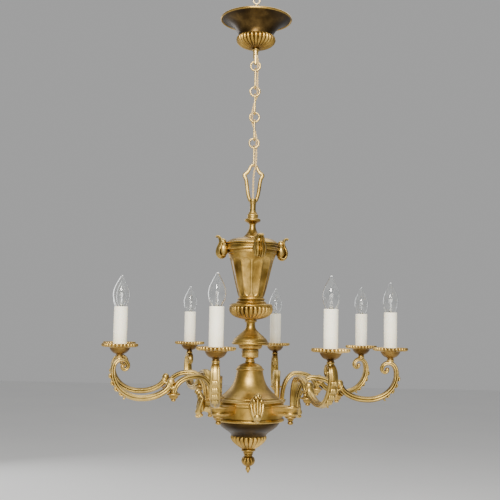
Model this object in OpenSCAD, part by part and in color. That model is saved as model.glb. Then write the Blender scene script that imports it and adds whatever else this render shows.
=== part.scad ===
// Eight-light gilt bronze chandelier: ceiling rose, chain with a woven flex, vase, bell, drum and scroll arms.
// The origin is the centre of the hanging eye. Inside the file heights are measured from the
// candle level, a little above the drip pans, and every sub-part is lowered by eye_h at the end.

/* [Overall] */
// Height of the hanging eye above the candle level
eye_h = 755; // [745:1:790]
// Distance from the axis to each candle
candle_r = 308; // [296:1:320]
// Turn of the first arm bracket about the axis
bracket_turn = -36; // [-45:1:-20]

/* [Ceiling rose] */
// Radius of the ceiling rose's rim
rose_r = 80.5; // [70:0.5:90]
// Height of the ceiling rose's rim above the candle level
rose_z = 711; // [705:1:718]
// Thickness of the pressed metal
sheet = 1.6; // [1.2:0.1:2.2]

/* [Chain] */
// Radius of the chain wire
wire_r = 2; // [1.6:0.05:2.1]
// Radius of a ring, to the middle of its wire
ring_r = 10.75; // [10:0.25:11.5]
// Half of a long link's width, to the middle of its wire
link_w = 6.2; // [5.8:0.1:6.6]
// Distance from ring to ring
ring_pitch = 60; // [58:0.5:62]
// Radius of the twisted flex
flex_r = 2.1; // [1.6:0.1:2.3]

/* [Column] */
// Radius of the lid's band
lid_r = 60; // [56:0.5:64]
// Radius of the vase's mouth
vase_r = 53; // [48:0.5:55]
// Radius of the gadrooned bowl under the vase
bowl_r = 48; // [44:0.5:52]
// Radius of the drum's wall
drum_r = 74.5; // [72:0.5:78]
// Height of the drum
drum_h = 44; // [42:1:48]

/* [Arms] */
// Distance from the axis to the arm brackets
bracket_r = 109.5; // [106:0.5:112]
// Half of the angle between the two candles of one bracket, seen from the axis
pair_half = 24; // [22:0.5:26]
// Half of an arm's width
arm_w = 9.5; // [7:0.5:10]
// Half of an arm's thickness
arm_t = 6; // [5:0.5:7]

/* [Candles] */
// Radius of a candle sleeve
sleeve_r = 14; // [13.6:0.1:14.6]
// Height of a candle sleeve above the candle level
sleeve_top = 41; // [38:1:48]
// Radius of a bulb's glass
bulb_r = 17.3; // [16.5:0.1:18]
// Radius of a drip pan
pan_r = 37.5; // [34:0.5:39]

/* [Hidden] */
CANDLES = 8;
RINGS = 4;
// Gaps: between hung pieces, and around what slides or turns
gap = 0.3;
slip = 0.35;
// Centre rod and the holes that it runs through
rod_r = 4.2;
rod_hole = 4.5;
// Levels of the column, from the top down
stirrup_foot_z = 284;
knob_z = 262;
lid_neck_z = 229;
lid_top_z = 205;
band_top_z = 191.5;
band_low_z = 174.5;
vase_low_z = 69;
foot_low_z = 57;
bowl_low_z = 20;
bell_low_z = -35;
spool_low_z = -68;
cap_low_z = -91;
drum_top_z = -157;
drum_low_z = drum_top_z - drum_h;
under_low_z = -233;
gadroon_low_z = -263;
finial_z = -316;
// Arms, along the arm from its bracket and from the candle level
candle_dx = candle_r * cos(pair_half) - bracket_r;
candle_dy = candle_r * sin(pair_half);
arm_len = norm([candle_dx, candle_dy]);
arm_turn = atan2(candle_dy, candle_dx);
plate_top_z = -163;
joint_u = 0.46 * arm_len;
drop_top_z = -136;
boss_top_z = -60;
pan_floor_z = -38;
pan_rim_z = -34;
// Chain
stem_r = 6;
ring_1_z = rose_z - 110;
hook = 2 * wire_r + gap;
link_l = ring_pitch - 2 * ring_r + 2 * hook;
bow_r = 2;
bow_z = ring_1_z - RINGS * ring_pitch + ring_r - hook + wire_r + gap + bow_r;
$fn = 64;

// ---------- curves and sweeps ----------

function bezier(p, t) =
    pow(1 - t, 3) * p[0] + 3 * t * pow(1 - t, 2) * p[1] + 3 * t * t * (1 - t) * p[2] + t * t * t * p[3];

// Points along a row of joined Bezier curves, n to each
function curve(rows, n) = concat(
    [for (p = rows) for (i = [0 : n - 1]) bezier(p, i / n)],
    [rows[len(rows) - 1][3]]
);

// A point of a smooth line through hand-set points
function smooth(p, i, t) =
    let (a = p[max(i - 1, 0)], b = p[i], c = p[i + 1], d = p[min(i + 2, len(p) - 1)])
    b + 0.5 * t * (c - a) + t * t * (a - 2.5 * b + 2 * c - 0.5 * d) + t * t * t * 0.5 * (d - a + 3 * b - 3 * c);

function smooth_line(p, n) = concat(
    [for (i = [0 : len(p) - 2]) for (k = [0 : n - 1]) smooth(p, i, k / n)],
    [p[len(p) - 1]]
);

// Faces of a tube of `rings` rings with `sides` points each
function tube_faces(rings, sides) = concat(
    [[for (s = [0 : sides - 1]) s]],
    [for (r = [0 : rings - 2]) for (s = [0 : sides - 1])
        each [
            [r * sides + s, (r + 1) * sides + s, (r + 1) * sides + (s + 1) % sides],
            [r * sides + s, (r + 1) * sides + (s + 1) % sides, r * sides + (s + 1) % sides]
        ]],
    [[for (s = [0 : sides - 1]) rings * sides - 1 - s]]
);

function unit(v) = v / norm(v);
function heading(p, i) = unit(p[min(i + 1, len(p) - 1)] - p[max(i - 1, 0)]);

// An oval bar along a line of [along, up] points: t and w are its half sizes in and across the plane
module bar(line, t, w, sides = 8) {
    n = len(line);
    pts = [for (i = [0 : n - 1]) let (h = heading(line, i), f = i / (n - 1)) for (s = [0 : sides - 1])
        let (a = 360 * s / sides)
        [line[i][0] - h[1] * t(f) * cos(a), -w(f) * sin(a), line[i][1] + h[0] * t(f) * cos(a)]];
    polyhedron(pts, tube_faces(n, sides), convexity = 6);
}

// A round tube along a line of points in space
module tube(line, r, sides = 8) {
    n = len(line);
    pts = [for (i = [0 : n - 1]) let (h = heading(line, i), u = unit(cross(h, [0, 1, 0])), v = cross(h, u))
        for (s = [0 : sides - 1]) let (a = 360 * s / sides) line[i] + r * (cos(a) * u + sin(a) * v)];
    polyhedron(pts, tube_faces(n, sides), convexity = 10);
}

// ---------- placing ----------

module hang() { translate([0, 0, -eye_h]) children(); }

// Turns to a direction counted from the front of the chandelier
module face(a) { rotate([0, 0, a - 90]) children(); }

// Candles 1 to 8 go round from the bracket at the front left: odd ones turn left, even ones turn right
function arm_side(i) = i % 2 == 1 ? -1 : 1;
function bracket_angle(i) = bracket_turn + 90 * floor((i - 1) / 2);

module at_bracket(i) {
    face(bracket_angle(i)) translate([bracket_r, 0, 0]) rotate([0, 0, arm_side(i) * arm_turn]) children();
}
module at_candle(i) { at_bracket(i) translate([arm_len, 0, 0]) children(); }

// Turned and spun outlines: rows are [radius, height]
module turned(rows) { rotate_extrude() polygon(rows); }

// A spun sheet-metal shell from its outer outline, top to bottom
module spun(rows, wall = sheet) {
    rotate_extrude() polygon(concat(rows, [for (i = [len(rows) - 1 : -1 : 0]) [rows[i][0] - wall, rows[i][1]]]));
}

// ---------- ceiling rose ----------

eye_outer = 9;
eye_hole = 5.2;
eye_t = 5;
shank_r = 3.4;
stem_top_z = rose_z - 11;
cap_top_z = rose_z - 42;

module hanging_eye() {
    color("tan") hang() {
        difference() {
            translate([0, 0, eye_h]) rotate([90, 0, 0]) cylinder(r = eye_outer, h = eye_t, center = true);
            translate([0, 0, eye_h]) rotate([90, 0, 0]) cylinder(r = eye_hole, h = 2 * eye_t, center = true);
        }
        translate([0, 0, stem_top_z])
            cylinder(r = shank_r, h = eye_h - stem_top_z - (eye_outer + eye_hole) / 2 - 0.3);
    }
}

module ceiling_rose() {
    flare = curve([[[rose_r, rose_z], [rose_r - 19, rose_z - 9], [39, rose_z - 24], [40.5, cap_top_z]]], 10);
    inner = [for (i = [len(flare) - 1 : -1 : 0]) [flare[i][0] - sheet, flare[i][1] + (i == 0 ? 0 : 0.9)]];
    color("sienna") hang() turned(concat(
        flare,
        [[stem_r + slip, cap_top_z], [stem_r + slip, cap_top_z + sheet + 0.4], [37, cap_top_z + sheet + 0.4]],
        [for (i = [1 : len(inner) - 1]) inner[i]]
    ));
}

module rose_cap() {
    belly = curve([[[40, cap_top_z], [47, cap_top_z - 2], [46, cap_top_z - 23], [9, cap_top_z - 28]]], 10);
    color("darkgoldenrod") hang() turned(concat(
        [[38, cap_top_z]], belly, [[stem_r + slip, cap_top_z - 28], [stem_r + slip, cap_top_z - 25]],
        [[22, cap_top_z - 21], [39.5, cap_top_z - 9]]
    ));
}

module rose_nut() {
    color("goldenrod") hang() translate([0, 0, cap_top_z + sheet + 0.4]) difference() {
        cylinder(r = 11, h = 6, $fn = 6);
        translate([0, 0, -1]) cylinder(r = stem_r + slip, h = 8);
    }
}

module rose_stem() {
    eye_z = ring_1_z + ring_r;
    slot = wire_r + 0.45;
    flat = 4;
    low = 6.4;
    color("gold") hang() difference() {
        translate([0, 0, eye_z - low]) cylinder(r = stem_r, h = stem_top_z - eye_z + low);
        for (s = [-1, 1])
            translate([s * (flat + stem_r) - stem_r, -2 * stem_r, eye_z - low - 1])
                cube([2 * stem_r, 4 * stem_r, low + 8]);
        translate([0, 0, eye_z]) rotate([0, 90, 0]) cylinder(r = slot, h = 4 * stem_r, center = true);
        translate([0, 0, eye_z - 0.8]) rotate([0, 90, 0]) cylinder(r = slot, h = 4 * stem_r, center = true);
    }
}

// ---------- chain ----------

module chain_ring(i) {
    color("goldenrod") hang() translate([0, 0, ring_1_z - (i - 1) * ring_pitch]) rotate([90, 0, 0])
        rotate_extrude() translate([ring_r, 0]) circle(r = wire_r, $fn = 24);
}

module chain_link(i) {
    top = ring_1_z - (i - 1) * ring_pitch - ring_r + hook;
    bend = link_l / 2 - link_w;
    color("goldenrod") hang() translate([0, 0, top - link_l / 2]) {
        for (s = [0, 180])
            rotate([s, 0, 0]) translate([0, 0, bend]) rotate([0, 0, 90]) rotate([90, 0, 0])
                rotate_extrude(angle = 180) translate([link_w, 0]) circle(r = wire_r, $fn = 24);
        for (s = [-1, 1]) translate([0, s * link_w, -bend]) cylinder(r = wire_r, h = 2 * bend, $fn = 24);
    }
}

// The flex leaves the stem, passes through the rings and links, and drops down the stirrup into its socket
flex_x = 5.2;
flex_y = 4.6;
function past_ring(z, x) = [[x, -flex_y, z + 10], [x, 0, z], [x, flex_y, z - 10]];
function ring_z(i) = ring_1_z - (i - 1) * ring_pitch;
flex_line = concat(
    [[0, -4.9, 628], [3, -8.4, 622]],
    [[flex_x, -5.4, 612], [flex_x, 0, ring_z(1)], [flex_x, flex_y, ring_z(1) - 10]],
    [[5, 0, 571]],
    past_ring(ring_z(2), flex_x),
    [[0, 0, 516]],
    past_ring(ring_z(3), -flex_x),
    [[0, 0, 455]],
    past_ring(ring_z(4), flex_x),
    [[5.6, 0, 396], [4.9, -5.2, 374], [4.5, -5.6, 365], [1.4, -4.4, 353], [0, 0, 338], [0, 0, 315], [0, 0, 270]]
);

module chain_flex() {
    color("khaki") hang() tube(smooth_line(flex_line, 3), flex_r);
}

module stirrup() {
    side = curve([
        [[0, bow_z], [7.5, bow_z], [7, bow_z - 9], [12.2, bow_z - 16]],
        [[12.2, bow_z - 16], [15, bow_z - 21], [22, bow_z - 23], [20.2, bow_z - 27]],
        [[20.2, bow_z - 27], [12.5, bow_z - 37], [15.5, bow_z - 66], [5.6, stirrup_foot_z + 3]]
    ], 6);
    whole = concat([for (i = [len(side) - 1 : -1 : 1]) [-side[i][0], side[i][1]]], side);
    color("gold") hang() {
        bar(whole, function (f) bow_r + 1.5 * min(1, abs(2 * f - 1) / 0.4), function (f) bow_r + abs(2 * f - 1));
        difference() {
            translate([0, 0, stirrup_foot_z]) cylinder(r = 8.5, h = 9);
            translate([0, 0, stirrup_foot_z - 1]) cylinder(r = flex_r + 1, h = 12);
        }
    }
}

// ---------- column ----------

module stirrup_socket() {
    color("gold") hang() turned([
        [flex_r + 1, knob_z], [7.2, knob_z], [7.2, stirrup_foot_z], [flex_r + 1, stirrup_foot_z]
    ]);
}

module turned_knob() {
    color("goldenrod") hang() turned(concat(
        [[rod_hole, knob_z], [9, knob_z]],
        curve([[[9, knob_z - 1], [12, knob_z - 6], [11, knob_z - 13], [17.8, knob_z - 17]]], 6),
        [[17.8, knob_z - 22], [14, knob_z - 24], [7.2, knob_z - 26], [7.2, lid_neck_z]],
        curve([[[7.6, lid_neck_z - 2], [9, lid_neck_z - 12], [14, lid_neck_z - 20], [20, lid_top_z]]], 6),
        [[rod_hole, lid_top_z]]
    ));
}

module lid() {
    dome = curve([[[20, lid_top_z], [38, lid_top_z - 1], [54, lid_top_z - 3], [lid_r - 3, band_top_z]]], 8);
    skirt = [[lid_r, band_top_z - 2], [lid_r, band_low_z + 3], [lid_r - 3, band_low_z]];
    color("goldenrod") hang() turned(concat(
        [[rod_hole, lid_top_z]], dome, skirt,
        [[lid_r - 6, band_low_z], [lid_r - 6, band_top_z - 4], [20, lid_top_z - 4], [rod_hole, lid_top_z - 4]]
    ));
}

// Ornaments stand on the lid and the drum between the brackets
leaf_turn = bracket_turn + 45;
module four_leaves(turn) { for (i = [0 : 3]) face(turn + 90 * i) children(); }

module lid_horns() {
    horn = curve([
        [[lid_r - 1, 176], [lid_r + 1, 156], [lid_r + 27, 156], [lid_r + 17, 178]],
        [[lid_r + 17, 178], [lid_r + 8, 192], [lid_r + 13, 202], [lid_r + 23, 204]],
        [[lid_r + 23, 204], [lid_r + 19, 212], [lid_r + 6, 212], [lid_r - 1, 192]]
    ], 7);
    color("gold") hang() four_leaves(leaf_turn + 4) difference() {
        translate([0, 13, 0]) rotate([90, 0, 0]) linear_extrude(26) polygon(horn);
        translate([0, 0, band_low_z - 30]) cylinder(r = lid_r, h = 70);
    }
}

module vase() {
    wall = curve([
        [[vase_r + 3, band_low_z], [vase_r + 3, band_low_z - 6], [vase_r - 1, 164], [vase_r - 4, 156]],
        [[vase_r - 4, 156], [vase_r - 9, 138], [33, 95], [28, vase_low_z]]
    ], 6);
    color("goldenrod") hang() spun(wall, 2);
}

module vase_foot() {
    color("goldenrod") hang() turned([
        [rod_hole, vase_low_z], [28, vase_low_z], [30, vase_low_z - 3], [30.5, vase_low_z - 6],
        [33.5, foot_low_z + 3], [33.5, foot_low_z], [rod_hole, foot_low_z]
    ]);
}

module vase_bowl() {
    wall = curve([
        [[34, foot_low_z], [40, foot_low_z - 2], [bowl_r, 54], [bowl_r, 47]],
        [[bowl_r, 47], [bowl_r, 34], [35, 25], [13.5, bowl_low_z]]
    ], 7);
    color("goldenrod") hang() turned(concat(
        wall, [[rod_hole, bowl_low_z], [rod_hole, bowl_low_z + 4], [14, bowl_low_z + 6]],
        [[30, 33], [bowl_r - 4, 44], [bowl_r - 4, 50], [34, foot_low_z - 3], [rod_hole, foot_low_z - 3]],
        [[rod_hole, foot_low_z]]
    ));
}

module upper_bell() {
    ring = [[12, bowl_low_z], [13.5, bowl_low_z - 2.5], [12, bowl_low_z - 5], [9.8, bowl_low_z - 7]];
    wall = curve([
        [[9.8, bowl_low_z - 10], [10.5, 2], [17, -6], [25, -13]],
        [[25, -13], [32, -18], [38, -24], [39, -29]]
    ], 6);
    color("goldenrod") hang() turned(concat(
        [[rod_hole, bowl_low_z]], ring, wall,
        [[40.5, -31], [40.5, bell_low_z], [24, bell_low_z], [24, -29], [34, -27], [22, -14]],
        [[rod_hole, 2]]
    ));
}

module spool() {
    color("darkgoldenrod") hang() turned(concat(
        [[rod_hole, bell_low_z], [26, bell_low_z], [27, bell_low_z - 3], [25, bell_low_z - 8]],
        [[18.7, bell_low_z - 11]],
        curve([[[18.7, -60], [17, -64], [10, -62], [9.3, spool_low_z + 2]]], 5),
        [[9.3, spool_low_z], [rod_hole, spool_low_z]]
    ));
}

module shoulder_cap() {
    color("goldenrod") hang() turned(concat(
        [[rod_hole, spool_low_z]],
        curve([[[9.3, spool_low_z], [12, -78], [26, -78], [29, cap_low_z + 5]]], 7),
        [[31, cap_low_z + 3], [31, cap_low_z], [rod_hole, cap_low_z]]
    ));
}

module big_bell() {
    wall = curve([
        [[29, cap_low_z], [30, -106], [36, -122], [47, -133]],
        [[47, -133], [56, -143], [68, -146], [74, drum_top_z]]
    ], 8);
    color("goldenrod") hang() spun(wall, 2);
}

module drum() {
    outer = [
        [77, drum_top_z], [77, drum_top_z - 2.5], [drum_r + 1, drum_top_z - 4], [drum_r, drum_top_z - 5.5],
        [drum_r, drum_low_z + 6], [drum_r + 2.5, drum_low_z + 3.5], [drum_r + 2.5, drum_low_z]
    ];
    color("goldenrod") hang() turned(concat(
        outer, [[rod_hole, drum_low_z], [rod_hole, drum_low_z + 3]],
        [[drum_r - 3, drum_low_z + 3], [drum_r - 3, drum_top_z - 3], [66, drum_top_z - 3], [66, drum_top_z]]
    ));
}

module drum_leaves() {
    stalk = 11;
    leaf = curve([
        [[98, -172], [94, -158], [100, -148], [104, -141]],
        [[104, -141], [108, -134], [119, -136], [121, -143]],
        [[121, -143], [114, -150], [116, -166], [115, -177]],
        [[115, -177], [122, -188], [112, -194], [104, -190]]
    ], 5);
    color("gold") hang() four_leaves(leaf_turn) {
        difference() {
            translate([70, -stalk / 2, -183]) cube([34, stalk, 12]);
            translate([0, 0, drum_low_z]) cylinder(r = drum_r, h = drum_h);
        }
        translate([0, 15, 0]) rotate([90, 0, 0]) linear_extrude(30) polygon(leaf);
    }
}

module brackets() {
    plate_w = 38;
    plate_t = 4.5;
    block_w = 32;
    color("goldenrod") hang() for (i = [0 : 3]) face(bracket_turn + 90 * i) {
        difference() {
            union() {
                translate([60, -plate_w / 2, plate_top_z - plate_t]) cube([bracket_r - 60, plate_w, plate_t]);
                translate([bracket_r, 0, plate_top_z - plate_t]) cylinder(r = plate_w / 2, h = plate_t);
                translate([60, -block_w / 2, -184]) cube([bracket_r - 60 + 10, block_w, 17]);
            }
            translate([0, 0, drum_low_z]) cylinder(r = drum_r, h = drum_h);
        }
        translate([bracket_r, 0, 0]) turned([
            [0, -184], [11, -184], [12, -187], [8, -190], [5, -194], [6, -197], [4.5, -200], [0, -202]
        ]);
    }
}

module under_bowl() {
    wall = curve([[[68, drum_low_z], [66, -217], [42, -221], [38.5, under_low_z]]], 8);
    color("saddlebrown") hang() turned(concat(
        [[rod_hole, drum_low_z]], wall, [[rod_hole, under_low_z], [rod_hole, under_low_z + 3]],
        [[36, under_low_z + 3], [64, drum_low_z - 4], [rod_hole, drum_low_z - 4]]
    ));
}

module gadroon_bowl() {
    wall = curve([[[38.5, under_low_z], [39.5, -243], [31, -252], [14.5, gadroon_low_z]]], 8);
    color("goldenrod") hang()
        turned(concat([[rod_hole, under_low_z]], wall, [[rod_hole, gadroon_low_z]]));
}

module finial() {
    cone = curve([
        [[9, -276], [17, -282], [16, -294], [9, -300]],
        [[9, -300], [5, -302], [3, -308], [0.8, finial_z]]
    ], 7);
    color("goldenrod") hang() turned(concat(
        [[rod_hole, gadroon_low_z], [14, gadroon_low_z], [15.4, gadroon_low_z - 2], [14, gadroon_low_z - 4]],
        [[10.8, gadroon_low_z - 6], [8, gadroon_low_z - 10], [9, -276]],
        [for (i = [1 : len(cone) - 1]) cone[i]],
        [[0, finial_z], [0, -290], [rod_hole, -290]]
    ));
}

module centre_rod() {
    color("gray") hang() translate([0, 0, -288]) cylinder(r = rod_r, h = knob_z - 4 + 288);
}

// ---------- arms ----------

module arm(i) {
    arch = curve([
        [[12, plate_top_z], [12, -128], [24, -101], [47, -101]],
        [[47, -101], [74, -101], [95, -112], [joint_u, drop_top_z + 1]]
    ], 8);
    scroll = curve([
        [[103, -111], [108, -132], [134, -145.5], [164, -145.5]],
        [[164, -145.5], [198, -145.5], [225.5, -122], [225.5, -90]],
        [[225.5, -90], [225.5, -76], [219, -67], [209, -67]],
        [[209, -67], [199, -67], [191, -77], [196, -84]],
        [[196, -84], [199, -89], [207, -88], [206, -81]]
    ], 6);
    thin = function (f) arm_t - 3 * max(0, (f - 0.35) / 0.65);
    color("gold") hang() at_bracket(i) {
        bar(arch, function (f) arm_t - 1.5 * (1 - f), function (f) 5 + (arm_w - 5) * min(1, 2 * f));
        bar(scroll, thin, function (f) arm_w - 3 * max(0, (f - 0.5) / 0.5));
        translate([104, 0, -113]) sphere(r = 8.5, $fn = 16);
        translate([joint_u, 0, drop_top_z]) cylinder(r = 8, h = 12, $fn = 24);
        translate([arm_len, 0, boss_top_z - 6]) cylinder(r = 7.5, h = 6, $fn = 24);
    }
}

module arm_drops() {
    color("gold") hang() for (i = [1 : CANDLES]) at_bracket(i) translate([joint_u, 0, drop_top_z]) turned([
        [0, 0], [13, 0], [13.5, -3], [10, -6], [9, -9], [4.5, -12], [4, -15], [0, -17]
    ]);
}

module drip_pans() {
    wire_hole = 2.5;
    outer = curve([
        [[7, -56], [14, -54], [18, -50], [21, -43.5]],
        [[21, -43.5], [26, -41], [pan_r - 4, -41], [pan_r, pan_rim_z - 3]]
    ], 5);
    hollow = [[wire_hole, pan_floor_z - 2], [18.5, pan_floor_z - 2], [17.5, -44], [13, -50], [wire_hole, -53]];
    color("goldenrod") hang() for (i = [1 : CANDLES]) at_candle(i) turned(concat(
        [[wire_hole, boss_top_z], [7, boss_top_z], [6.5, boss_top_z + 2.5]], outer,
        [[pan_r, pan_rim_z], [pan_r - 4, pan_rim_z - 1], [28, pan_floor_z], [wire_hole, pan_floor_z]],
        hollow
    ));
}

// ---------- candles ----------

holder_r = 10.5;
base_r = 7;
base_top = sleeve_top - 5;
base_low = base_top - 26;

module lampholders() {
    color("white") hang() for (i = [1 : CANDLES]) at_candle(i) translate([0, 0, pan_floor_z]) difference() {
        cylinder(r = holder_r, h = base_top - 1 - pan_floor_z);
        translate([0, 0, base_low - 1 - pan_floor_z]) cylinder(r = base_r + slip, h = 60);
    }
}

module sleeve(i) {
    color("ivory") hang() at_candle(i) translate([0, 0, pan_floor_z]) difference() {
        cylinder(r = sleeve_r, h = sleeve_top - pan_floor_z);
        translate([0, 0, -1]) cylinder(r = sleeve_r - 1.2, h = 2 + sleeve_top - pan_floor_z);
    }
}

// Points of the glass from its neck to its tip, `inset` inside the outer face
function glass(inset) = let (r = bulb_r - inset, z = sleeve_top) curve([
    [[8.5 - inset, base_top + inset], [11 - inset, z + 2], [r, z + 12], [r, z + 25]],
    [[r, z + 25], [r, z + 42], [4, z + 56 - inset], [1.6, z + 66 - 2 * inset]]
], 8);

module bulb(i) {
    vent = 1.5;
    outside = glass(0);
    inside = glass(0.9);
    last = len(inside) - 1;
    color("white") hang() at_candle(i) turned(concat(
        [[vent, base_low], [base_r, base_low], [base_r, base_top]], outside, [[0, sleeve_top + 66]],
        [[0, inside[last][1]]], [for (k = [last : -1 : 0]) inside[k]],
        [[base_r - 1.2, base_top], [base_r - 1.2, base_low + 2], [vent, base_low + 2]]
    ));
}

hanging_eye();
ceiling_rose();
rose_cap();
rose_stem();
rose_nut();
chain_flex();
for (i = [1 : RINGS]) chain_ring(i);
for (i = [1 : RINGS]) chain_link(i);
stirrup();
stirrup_socket();
turned_knob();
lid();
lid_horns();
vase();
vase_foot();
vase_bowl();
upper_bell();
spool();
shoulder_cap();
big_bell();
drum();
drum_leaves();
brackets();
under_bowl();
gadroon_bowl();
finial();
centre_rod();
arm_drops();
drip_pans();
lampholders();
for (i = [1 : CANDLES]) arm(i);
for (i = [1 : CANDLES]) sleeve(i);
for (i = [1 : CANDLES]) bulb(i);
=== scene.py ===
import math
import bmesh
import bpy
import numpy as np
from mathutils import Matrix, Vector


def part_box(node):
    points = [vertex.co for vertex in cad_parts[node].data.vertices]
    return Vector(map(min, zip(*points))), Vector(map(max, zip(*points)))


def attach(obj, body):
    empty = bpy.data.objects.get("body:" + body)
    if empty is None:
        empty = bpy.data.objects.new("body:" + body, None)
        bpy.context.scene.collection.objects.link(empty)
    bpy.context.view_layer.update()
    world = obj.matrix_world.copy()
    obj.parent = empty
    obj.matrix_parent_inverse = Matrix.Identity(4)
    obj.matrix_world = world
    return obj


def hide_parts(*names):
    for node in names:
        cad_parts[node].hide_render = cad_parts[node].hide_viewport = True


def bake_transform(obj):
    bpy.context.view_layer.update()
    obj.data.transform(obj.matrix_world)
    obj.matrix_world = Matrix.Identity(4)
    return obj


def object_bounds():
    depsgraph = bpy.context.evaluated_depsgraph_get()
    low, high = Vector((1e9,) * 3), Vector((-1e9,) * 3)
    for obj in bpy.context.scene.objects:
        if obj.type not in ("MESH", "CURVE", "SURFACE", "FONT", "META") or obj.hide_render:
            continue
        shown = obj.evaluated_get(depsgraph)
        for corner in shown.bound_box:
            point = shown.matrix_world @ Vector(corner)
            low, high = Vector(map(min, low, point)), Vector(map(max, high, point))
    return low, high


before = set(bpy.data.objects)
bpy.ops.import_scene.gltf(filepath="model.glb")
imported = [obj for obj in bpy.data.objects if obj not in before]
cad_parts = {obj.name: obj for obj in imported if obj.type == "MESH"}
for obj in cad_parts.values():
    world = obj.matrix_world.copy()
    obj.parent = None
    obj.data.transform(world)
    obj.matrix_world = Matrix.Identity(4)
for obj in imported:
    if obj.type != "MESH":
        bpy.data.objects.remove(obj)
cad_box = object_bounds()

# Sizes below are in millimetres, with heights counted from the candle level. The frame gives where that
# level is, and where every candle stands.
MM = 0.001
SLEEVE_TOP = 41.0
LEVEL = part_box("sleeve_1")[1][2] - SLEEVE_TOP * MM
CANDLES = range(1, 9)
CHAIN = range(1, 5)
BRACKET_TURN = -36.0
BRACKET_R = 109.5
LEAF_TURN = BRACKET_TURN + 45.0
BODY = "fixture"


def height(z):
    """A height over the candle level, in mm, as a height in the frame, in metres."""
    return LEVEL + z * MM


# ---------- camera ----------

CAMERA_DISTANCE = 1.903
CAMERA_PITCH = math.radians(5.31)
CAMERA_YAW = math.radians(-0.14)
CAMERA_ROLL = math.radians(1.09)
FOCAL_PX = 850.0


def make_camera():
    data = bpy.data.cameras.new("camera")
    data.sensor_width = 36.0
    data.lens = FOCAL_PX / 500.0 * data.sensor_width
    camera = bpy.data.objects.new("camera", data)
    bpy.context.scene.collection.objects.link(camera)
    side = Vector((math.cos(CAMERA_YAW), -math.sin(CAMERA_YAW), 0))
    ahead = Vector((math.sin(CAMERA_YAW) * math.cos(CAMERA_PITCH),
                    math.cos(CAMERA_YAW) * math.cos(CAMERA_PITCH),
                    math.sin(CAMERA_PITCH)))
    up = side.cross(ahead)
    right = side * math.cos(CAMERA_ROLL) + up * math.sin(CAMERA_ROLL)
    top = up * math.cos(CAMERA_ROLL) - side * math.sin(CAMERA_ROLL)
    place = Matrix.Identity(4)
    for row in range(3):
        place[row][0] = right[row]
        place[row][1] = top[row]
        place[row][2] = -ahead[row]
    place.translation = (0, -CAMERA_DISTANCE, height(0))
    camera.matrix_world = place
    bpy.context.scene.camera = camera


make_camera()


# ---------- building meshes ----------

class Form:
    """Points and faces of one piece, in millimetres."""

    def __init__(self):
        self.points = []
        self.faces = []

    def grid(self, rows, round_rows=True, closed=False, caps=True):
        """Joins rows of points into a skin. A row of one point is a pole."""
        starts = []
        for row in rows:
            starts.append(len(self.points))
            self.points.extend(Vector(p) for p in row)
        pairs = list(range(len(rows) - 1)) + ([len(rows) - 1] if closed else [])
        for a in pairs:
            b = (a + 1) % len(rows)
            self._join(starts[a], len(rows[a]), starts[b], len(rows[b]), round_rows)
        if caps and not closed:
            for k in (0, len(rows) - 1):
                if len(rows[k]) > 2:
                    self.faces.append([starts[k] + s for s in range(len(rows[k]))])

    def _join(self, a, na, b, nb, round_rows):
        n = max(na, nb)
        for s in range(n if round_rows else n - 1):
            t = (s + 1) % n
            if na == 1 and nb == 1:
                continue
            if na == 1:
                self.faces.append([a, b + s, b + t])
            elif nb == 1:
                self.faces.append([a + s, b, a + t])
            else:
                self.faces.append([a + s, b + s, b + t, a + t])

    def add(self, other, matrix):
        start = len(self.points)
        self.points.extend(matrix @ p for p in other.points)
        self.faces.extend([start + k for k in face] for face in other.faces)

    def lathe(self, rows, sides=72, shape=None, closed=True):
        """Turns rows of (radius, height) about the axis.

        shape(angle, radius, height) gives a changed (radius, height).
        """
        rings = []
        for r, z in rows:
            if r < 1e-6:
                rings.append([(0, 0, z)])
                continue
            ring = []
            for s in range(sides):
                a = 2 * math.pi * s / sides
                rr, zz = shape(a, r, z) if shape else (r, z)
                ring.append((rr * math.cos(a), rr * math.sin(a), zz))
            rings.append(ring)
        self.grid(rings, closed=closed and rows[0][0] > 1e-6)

    def sweep(self, path, section, across=Vector((0, 1, 0)), closed=False):
        """Sweeps section(share of the way) -> [(off, across)] along path, off in the plane of the path."""
        rows = []
        n = len(path)
        for k, p in enumerate(path):
            ahead = (path[(k + 1) % n] - path[k - 1] if closed
                     else path[min(k + 1, n - 1)] - path[max(k - 1, 0)])
            off = across.cross(ahead).normalized()
            side = ahead.cross(off).normalized()
            rows.append([p + off * a + side * b for a, b in section(k / (n - 1))])
        self.grid(rows, closed=closed)

    def ball(self, centre, size, sides=20, rings=10):
        """A ball, or an egg where size has three numbers."""
        half = Vector((size, size, size)) if isinstance(size, (int, float)) else Vector(size)
        rows = []
        for k in range(rings + 1):
            a = math.pi * k / rings
            around = 1 if k in (0, rings) else sides
            rows.append([Vector(centre) + Vector((half.x * math.sin(a) * math.cos(2 * math.pi * s / around),
                                                  half.y * math.sin(a) * math.sin(2 * math.pi * s / around),
                                                  half.z * math.cos(a))) for s in range(around)])
        self.grid(rows)


def smooth(points, n=4):
    """A smooth line through points, n steps between two of them."""
    pts = [Vector(p) for p in points]
    out = []
    for i in range(len(pts) - 1):
        a, b, c, d = pts[max(i - 1, 0)], pts[i], pts[i + 1], pts[min(i + 2, len(pts) - 1)]
        for k in range(n):
            t = k / n
            out.append(b + (c - a) * (0.5 * t) + (a - b * 2.5 + c * 2 - d * 0.5) * t ** 2
                       + (d - a + (b - c) * 3) * (0.5 * t ** 3))
    out.append(pts[-1])
    return out


def outline(*runs, n=4):
    """Runs of (radius, height): each run is a smooth curve, and runs meet at corners."""
    rows = []
    for run in runs:
        line = smooth([(r, z, 0) for r, z in run], n) if len(run) > 2 else [Vector((r, z, 0)) for r, z in run]
        rows.extend((p.x, p.y) for p in line)
    return rows


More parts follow.
